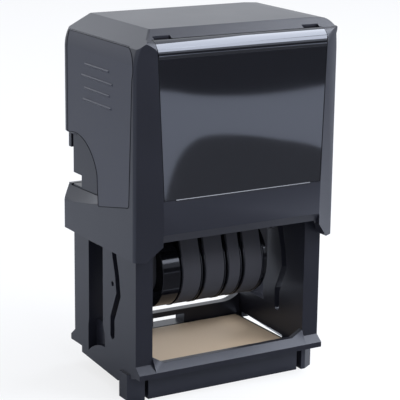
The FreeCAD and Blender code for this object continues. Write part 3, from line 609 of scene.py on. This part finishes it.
@dataclass
class Cap:
    """Cap moulding with its grip panels, window cover and card."""

    edge_rounding: float = 0.2
    panel_rounding: float = 0.18
    cover_rounding: float = 0.15
    card_rounding: float = 0.05

    def build(self) -> None:
        """Make and place the cap's pieces."""
        body = Body.CAP.value
        publish(softened("cap_moulding", "cap_shell", CAP_PLASTIC, self.edge_rounding), body,
                ("cap_shell",))
        for side in ("right", "left"):
            node = f"{side}_grip_panel"
            publish(softened(f"{side}_grip_skin", node, PANEL_PLASTIC, self.panel_rounding), body,
                    (node,))
        publish(softened("glossy_cover", "window_cover", COVER_PLASTIC, self.cover_rounding), body,
                ("window_cover",))
        publish(softened("black_index_card", "index_card", CARD, self.card_rounding), body,
                ("index_card",))


@dataclass
class Seams:
    """Fine dark lines of painted shade along the seams round the parts that are let into the cap, and the
    bright sill under its cover.

    Widths and places are in millimetres. The sill is set back from the cap's front, below the cover's edge.
    """

    width: float = 0.24
    sides: int = 8
    sill_width: float = 0.66
    sill_left: float = -24.3
    sill_right: float = 24.5
    sill_setback: float = 0.39
    sill_drop: float = 0.165

    def tree(self) -> bpy.types.NodeTree:
        """Build the tree that lays a round line along the edges that it is given.

        Returns:
            The tree, with named inputs for the line's width and finish.
        """
        tree = bpy.data.node_groups.new("seam_lines", "GeometryNodeTree")
        sockets(tree, "INPUT", ("Geometry", "NodeSocketGeometry"), ("Width", "NodeSocketFloat"),
                ("Finish", "NodeSocketMaterial"))
        sockets(tree, "OUTPUT", ("Geometry", "NodeSocketGeometry"))
        g = Graph(tree)
        given, out = g.add("NodeGroupInput"), g.add("NodeGroupOutput")
        path = g.add("GeometryNodeMeshToCurve")
        g.join(given.outputs["Geometry"], path.inputs["Mesh"])
        g.put_out(g.round_line(path.outputs["Curve"], given.outputs["Width"], self.sides), given, out)
        return tree

    @staticmethod
    def rim(node: str, facing: Vector, upright: bool = False) -> bpy.types.Mesh:
        """Find the outer edge of the face of a CAD node that looks one way.

        Args:
            node: Name of the CAD node.
            facing: Direction that the face looks.
            upright: Whether only the edges that rise steeply are kept.

        Returns:
            A mesh of the longest run of joined edges round that face.
        """
        mesh = merged_copy(node)
        shape = bmesh.new()
        shape.from_mesh(mesh)
        front = {face for face in shape.faces if face.normal.dot(facing) > ALIKE}
        rims = {edge for edge in shape.edges if len(front.intersection(edge.link_faces)) == 1}
        runs: list[set] = []
        while rims:
            run, fresh = set(), {rims.pop()}
            while fresh:
                edge = fresh.pop()
                run.add(edge)
                near = {other for vert in edge.verts for other in vert.link_edges} & rims
                rims -= near
                fresh |= near
            runs.append(run)
        longest = max(runs, key=lambda run: sum(edge.calc_length() for edge in run))
        if upright:
            longest = {edge for edge in longest
                       if abs((edge.verts[0].co - edge.verts[1].co).normalized().z) > ALIKE}
        others = [edge for edge in shape.edges if edge not in longest]
        bmesh.ops.delete(shape, geom=others, context="EDGES_FACES")
        loose = [vert for vert in shape.verts if not vert.link_edges]
        bmesh.ops.delete(shape, geom=loose, context="VERTS")
        shape.to_mesh(mesh)
        shape.free()
        return mesh

    def line(self, name: str, path: bpy.types.Mesh, width: float, finish: Finish, slot: str) -> None:
        """Lay a line along a path on the cap.

        Args:
            name: Name of the piece.
            path: Mesh of the edges that it follows.
            width: Its width in millimetres.
            finish: Its finish.
            slot: Name of a material slot; not used.
        """
        piece = new_piece(name, path, finish)
        grown = piece.modifiers.new("line", "NODES")
        grown.node_group = bpy.data.node_groups.get("seam_lines") or self.tree()
        set_inputs(grown, {"Width": width * MM, "Finish": finish.material()})
        publish(baked(piece, LINE_CREASE), Body.CAP.value, ())

    def build(self) -> None:
        """Make the painted-shade seam lines and the sill."""
        for side, way in (("right", 1.0), ("left", -1.0)):
            self.line(f"{side}_panel_seam_shade", self.rim(f"{side}_grip_panel", Vector((way, 0, 0))), self.width,
                      SEAM_SHADE, "panel_plastic")
        self.line("cover_side_seam_shade", self.rim("window_cover", Vector((0, -1, 0)), upright=True), self.width,
                  SEAM_SHADE, "cover_plastic")
        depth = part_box("cap_shell")[0].y + self.sill_setback * MM
        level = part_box("window_cover")[0].z - self.sill_drop * MM
        ends = [(side * MM, depth, level) for side in (self.sill_left, self.sill_right)]
        sill = bpy.data.meshes.new("sill")
        sill.from_pydata(ends, [(0, 1)], [])
        self.line("cover_sill", sill, self.sill_width, SILL_PLASTIC, "cap_plastic")


@dataclass
class Carriage:
    """Carriage that hangs between the axle brackets and holds the dials."""

    edge_rounding: float = 0.2
    band_rounding: float = 0.12

    def build(self) -> None:
        """Make and place the brackets, the carriage and the bands."""
        for side in ("right", "left"):
            node = f"{side}_axle_bracket"
            publish(softened(f"{side}_bracket_moulding", node, INNER_PLASTIC_WITH_PAINTED_SHADE, self.edge_rounding),
                    Body.CAP.value, (node,))
        body = Body.CARRIAGE.value
        for name, node in (("carriage_moulding", "carriage_frame"), ("band_guide_core", "band_guide"),
                           ("dial_separators", "wheel_separators")):
            publish(softened(name, node, INNER_PLASTIC_WITH_PAINTED_SHADE, self.edge_rounding), body, (node,))
        publish(softened("smooth_collar_pair", "end_collars", COLLAR_PLASTIC, self.edge_rounding), body,
                ("end_collars",))
        for name, node in (("dial_axle_rod", "wheel_axle"), ("pivot_pin_pair", "pivot_pins")):
            publish(softened(name, node, PIN_STEEL, self.edge_rounding), body, (node,))
        for dial in Dial:
            node = f"{dial.value}_band"
            publish(softened(f"{dial.value}_rubber_band", node, BAND_RUBBER_WITH_PAINTED_SHADE, self.band_rounding), body,
                    (node,))


@dataclass
class Dials:
    """Thumbwheels."""

    edge_rounding: float = 0.15

    def build(self) -> None:
        """Make and place each thumbwheel on its own body."""
        for dial in Dial:
            node = f"{dial.value}_wheel"
            publish(softened(f"{dial.value}_thumbwheel", node, DIAL_PLASTIC, self.edge_rounding),
                    f"{dial.value}_dial", (node,))


@dataclass
class PadTray:
    """Ink pad tray with its felt."""

    edge_rounding: float = 0.3

    def build(self) -> None:
        """Make and place the tray and the felt."""
        body = Body.PAD_TRAY.value
        publish(softened("tray_moulding", "ink_pad_tray", TRAY_PLASTIC, self.edge_rounding), body,
                ("ink_pad_tray",))
        felt = softened("felt_pad", "ink_pad", PAD_FELT, self.edge_rounding)
        publish(felt, body, ("ink_pad",))


@dataclass
class Springs:
    """Pair of return springs, which shorten as the cap goes down by its stroke, in millimetres."""

    wire: float = 0.9
    wire_sides: int = 14
    turns: float = 8.0
    points_per_turn: int = 48
    stroke: float = 26.0

    def tree(self) -> bpy.types.NodeTree:
        """Build the tree that coils a wire and sets the pair in place.

        Returns:
            The tree, with named inputs for its sizes.
        """
        tree = bpy.data.node_groups.new("coiled_springs", "GeometryNodeTree")
        sockets(tree, "INPUT", ("Geometry", "NodeSocketGeometry"), ("Wire", "NodeSocketFloat"),
                ("Mean Radius", "NodeSocketFloat"), ("Height", "NodeSocketFloat"),
                ("Turns", "NodeSocketFloat"), ("Half Spacing", "NodeSocketFloat"),
                ("Place", "NodeSocketVector"), ("Finish", "NodeSocketMaterial"))
        sockets(tree, "OUTPUT", ("Geometry", "NodeSocketGeometry"))
        g = Graph(tree)
        given, out = g.add("NodeGroupInput"), g.add("NodeGroupOutput")
        coil = g.add("GeometryNodeCurveSpiral", Resolution=self.points_per_turn)
        g.join(given.outputs["Turns"], coil.inputs["Rotations"])
        for name in ("Start Radius", "End Radius"):
            g.join(given.outputs["Mean Radius"], coil.inputs[name])
        g.join(given.outputs["Height"], coil.inputs["Height"])
        wire = g.round_line(coil.outputs["Curve"], given.outputs["Wire"], self.wire_sides)
        line = g.add("GeometryNodeMeshLine", Count=2)
        start = g.add("ShaderNodeCombineXYZ")
        g.join(g.number("MULTIPLY", given.outputs["Half Spacing"], -1.0), start.inputs["X"])
        step = g.add("ShaderNodeCombineXYZ")
        g.join(g.number("MULTIPLY", given.outputs["Half Spacing"], 2.0), step.inputs["X"])
        where = g.add("ShaderNodeVectorMath", operation="ADD")
        g.join(start.outputs[0], where.inputs[0])
        g.join(given.outputs["Place"], where.inputs[1])
        g.join(where.outputs[0], line.inputs["Start Location"])
        g.join(step.outputs[0], line.inputs["Offset"])
        pair = g.add("GeometryNodeInstanceOnPoints")
        g.join(line.outputs["Mesh"], pair.inputs["Points"])
        g.join(wire, pair.inputs["Instance"])
        g.put_out(pair.outputs["Instances"], given, out)
        return tree

    def build(self) -> None:
        """Make the pair in the box of its CAD node."""
        low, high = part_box("return_springs")
        radius = (high.y - low.y - self.wire * MM) / 2
        spacing = (high.x - low.x) / 2 - radius - self.wire * MM / 2
        place = Vector((0, (low.y + high.y) / 2, low.z + self.wire * MM / 2))
        piece = new_piece("return_spring_pair", bpy.data.meshes.new("return_spring_pair"), SPRING_STEEL)
        grown = piece.modifiers.new("coils", "NODES")
        grown.node_group = self.tree()
        rest = high.z - low.z
        set_inputs(grown, {"Wire": self.wire * MM, "Mean Radius": radius, "Height": rest - self.wire * MM,
                           "Turns": self.turns, "Half Spacing": spacing, "Place": place,
                           "Finish": SPRING_STEEL.material()})
        publish(baked(piece, LINE_CREASE), Body.FRAME.value, ("return_springs",))
        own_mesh(piece)


def set_inputs(modifier: bpy.types.Modifier, values: dict[str, object]) -> None:
    """Set a Geometry Nodes modifier's inputs by their sockets' identifiers.

    Args:
        modifier: The modifier, with its tree.
        values: Values by the inputs' names.
    """
    for socket in modifier.node_group.interface.items_tree:
        if socket.in_out == "INPUT" and socket.name in values:
            modifier[socket.identifier] = values[socket.name]


def smooth_run(points: tuple[tuple[float, float], ...], steps: int = 6) -> list[tuple[float, float]]:
    """Draw a smooth line through points.

    Args:
        points: The points, in order.
        steps: Pieces between two points.

    Returns:
        Points along the line.
    """
    places = [Vector(point) for point in points]
    run = []
    for index in range(len(places) - 1):
        before, start = places[max(index - 1, 0)], places[index]
        end, after = places[index + 1], places[min(index + 2, len(places) - 1)]
        for step in range(steps):
            t = step / steps
            bend = (before * 2 - start * 5 + end * 4 - after) * t * t
            turn = (start * 3 - before - end * 3 + after) * t * t * t
            run.append(tuple((start * 2 + (end - before) * t + bend + turn) / 2))
    return [*run, tuple(places[-1])]


@dataclass(frozen=True)
class Lamp:
    """A soft rectangular lamp: its place and its sizes in metres, its power in watts."""

    name: str
    place: Place
    width: float
    height: float
    power: float


@dataclass(frozen=True)
class Card:
    """A plain card that only glossy surfaces see.

    Its corners are in metres, and its strength is its brightness, where 1 is white.
    """

    name: str
    corners: tuple[Place, ...]
    strength: float


LAMPS = (
    Lamp("key_lamp", (0.57, -0.2, 0.9), width=1.05, height=0.38, power=8.4),
    Lamp("front_lamp", (0.05, -0.78, 0.66), width=0.5, height=0.25, power=2.2),
    Lamp("band_lamp", (0.53, -0.68, 0.56), width=0.42, height=0.34, power=2.7),
    Lamp("back_lamp", (-0.22, 0.87, 0.5), width=0.6, height=0.4, power=0.8),
    Lamp("left_lamp", (-0.8, -0.4, 0.45), width=0.5, height=0.5, power=0.8),
)

# Edges on the floor, in metres from the origin, of the near card's arch and of the far card's rim
ARCH_EDGE = ((0.123, -0.297), (0.151, -0.341), (0.182, -0.387), (0.209, -0.421), (0.232, -0.44),
             (0.251, -0.432), (0.262, -0.406), (0.267, -0.374), (0.25, -0.3))
RIM_EDGE = ((0.24, -0.66), (0.293, -0.618), (0.308, -0.578), (0.33, -0.56), (0.361, -0.557),
            (0.404, -0.568), (0.5, -0.6))


@dataclass
class Studio:
    """Floor, light and camera.

    Lengths are in metres, apart from the sensor's width in millimetres and the image's sizes in pixels of the
    photograph. Angles are in degrees.
    """

    azimuth: float = -30.589
    elevation: float = 15.295
    roll: float = 0.658
    distance: float = 0.53879
    target: Place = (0.0, 0.00225, 0.04892)
    focal_px: float = 1647.3
    centre_px: tuple[float, float] = (196.964, 225.623)
    frame_px: float = 400.0
    sensor: float = 36.0
    lamp_aim: Place = (0.0, 0.0, 0.06)
    light_colour: Colour = (0.92, 0.95, 1.0)
    soft_strength: float = 0.5
    white_strength: float = 1.08
    floor_half_width: float = 3.0
    floor_colour: Colour = (0.8, 0.82, 0.87)
    floor_roughness: float = 0.9
    floor_specular: float = 0.1
    floor_white_share: float = 0.7
    card_colour: Colour = (0.95, 0.97, 1.0)
    near_level: float = 0.0005
    far_level: float = 0.001
    wall_half_width: float = 1.3
    wall_distance: float = 1.4
    wall_height: float = 0.28

    def camera(self) -> None:
        """Set up the camera at the photograph's viewing angle."""
        turn, rise, roll = (math.radians(angle) for angle in (self.azimuth, self.elevation, self.roll))
        back = Vector((math.sin(turn) * math.cos(rise), -math.cos(turn) * math.cos(rise), math.sin(rise)))
        right = Vector((math.cos(turn), math.sin(turn), 0))
        up = back.cross(right)
        across = right * math.cos(roll) + up * math.sin(roll)
        upward = up * math.cos(roll) - right * math.sin(roll)
        data = bpy.data.cameras.new("camera")
        data.sensor_width = self.sensor
        data.lens = self.focal_px / self.frame_px * self.sensor
        data.shift_x = (self.frame_px / 2 - self.centre_px[0]) / self.frame_px
        data.shift_y = (self.centre_px[1] - self.frame_px / 2) / self.frame_px
        camera = linked("camera", data)
        turned = Matrix((across, upward, back)).transposed().to_4x4()
        camera.matrix_world = Matrix.Translation(Vector(self.target) + back * self.distance) @ turned
        bpy.context.scene.camera = camera

    def floor(self) -> None:
        """Lay a wide pale floor that shows as white to the camera away from the object's shadow."""
        mesh = bpy.data.meshes.new("floor")
        shape = bmesh.new()
        bmesh.ops.create_grid(shape, x_segments=1, y_segments=1, size=self.floor_half_width)
        shape.to_mesh(mesh)
        shape.free()
        made = bpy.data.materials.new("pale_floor")
        made.use_nodes = True
        g = Graph(made.node_tree)
        shader = made.node_tree.nodes["Principled BSDF"]
        shader.inputs["Base Color"].default_value = opaque(self.floor_colour)
        shader.inputs["Roughness"].default_value = self.floor_roughness
        shader.inputs["Specular IOR Level"].default_value = self.floor_specular
        white = g.add("ShaderNodeEmission", Strength=self.white_strength)
        path = g.add("ShaderNodeLightPath")
        share = g.number("MULTIPLY", path.outputs["Is Camera Ray"], self.floor_white_share)
        surface = made.node_tree.nodes["Material Output"].inputs["Surface"]
        g.join(g.mixed(share, shader, white), surface)
        mesh.materials.append(made)
        linked("floor", mesh)

    def hang(self, lamp: Lamp) -> None:
        """Hang a lamp so that it faces the machine.

        Args:
            lamp: The lamp.
        """
        data = bpy.data.lights.new(lamp.name, "AREA")
        data.shape = "RECTANGLE"
        data.size, data.size_y = lamp.width, lamp.height
        data.energy = lamp.power
        data.color = self.light_colour
        hung = linked(lamp.name, data)
        hung.location = lamp.place
        hung.rotation_mode = "QUATERNION"
        hung.rotation_quaternion = (Vector(self.lamp_aim) - Vector(lamp.place)).to_track_quat("-Z", "Y")

    def lay(self, card: Card) -> None:
        """Put a card beside the view.

        Args:
            card: The card.
        """
        mesh = bpy.data.meshes.new(card.name)
        mesh.from_pydata(card.corners, [], [tuple(range(len(card.corners)))])
        laid = linked(card.name, mesh)
        laid.visible_camera = False
        laid.visible_diffuse = False
        laid.visible_transmission = False
        laid.visible_shadow = False
        made = bpy.data.materials.new(card.name)
        made.use_nodes = True
        g = Graph(made.node_tree)
        made.node_tree.nodes.remove(made.node_tree.nodes["Principled BSDF"])
        glow = g.add("ShaderNodeEmission", Color=opaque(self.card_colour), Strength=card.strength)
        g.join(glow.outputs[0], made.node_tree.nodes["Material Output"].inputs["Surface"])
        mesh.materials.append(made)

    def cards(self) -> None:
        """Lay the dim cards in front, which glossy surfaces mirror as dark zones."""
        near = ((-0.1, -0.03), (-0.45, -0.297), *smooth_run(ARCH_EDGE), (0.13, -0.03))
        left = ((-0.45, -0.297), (-0.9, -0.95), (0.16, -0.95), (0.06, -0.33), (0.06, -0.297))
        far = (*smooth_run(RIM_EDGE), (1.1, -1.5), (0.2, -1.5))
        side, depth, top = self.wall_half_width, -self.wall_distance, self.wall_height
        wall = ((-side, depth, 0.0), (side, depth, 0.0), (side, depth, top), (-side, depth, top))
        self.lay(Card("near_card", tuple((x, y, self.near_level) for x, y in near), strength=0.3))
        self.lay(Card("left_card", tuple((x, y, self.near_level) for x, y in left), strength=0.3))
        self.lay(Card("far_card", tuple((x, y, self.far_level) for x, y in far), strength=0.12))
        self.lay(Card("wall_card", wall, strength=0.1))

    def lights(self) -> None:
        """Hang the lamps and set the pale surroundings."""
        for lamp in LAMPS:
            self.hang(lamp)
        world = bpy.data.worlds.new("studio")
        bpy.context.scene.world = world
        world.use_nodes = True
        g = Graph(world.node_tree)
        soft = world.node_tree.nodes["Background"]
        soft.inputs["Color"].default_value = opaque(self.light_colour)
        soft.inputs["Strength"].default_value = self.soft_strength
        white = g.add("ShaderNodeBackground", Color=opaque(self.light_colour), Strength=self.white_strength)
        path = g.add("ShaderNodeLightPath")
        seen = g.number("MAXIMUM", path.outputs["Is Camera Ray"], path.outputs["Is Glossy Ray"])
        shown = g.number("MAXIMUM", seen, path.outputs["Is Transmission Ray"])
        g.join(g.mixed(shown, soft, white), world.node_tree.nodes["World Output"].inputs["Surface"])

    def build(self) -> None:
        """Set up camera, floor and light."""
        self.camera()
        self.floor()
        self.lights()
        self.cards()
        bpy.context.scene.view_settings.view_transform = "Standard"


def corners(pair: tuple[Vector, Vector]) -> list[list[float]]:
    """Write a box as plain lists of numbers.

    Args:
        pair: Its low and its high corner.

    Returns:
        The two corners as lists.
    """
    return [list(corner) for corner in pair]


def main() -> None:
    """Build every sub-assembly in order."""
    logging.basicConfig(level=logging.INFO, format="%(message)s")
    Studio().build()
    for assembly in (Base(), Cap(), Seams(), Carriage(), Dials(), PadTray(), Springs()):
        assembly.build()


if __name__ == "__main__":
    main()
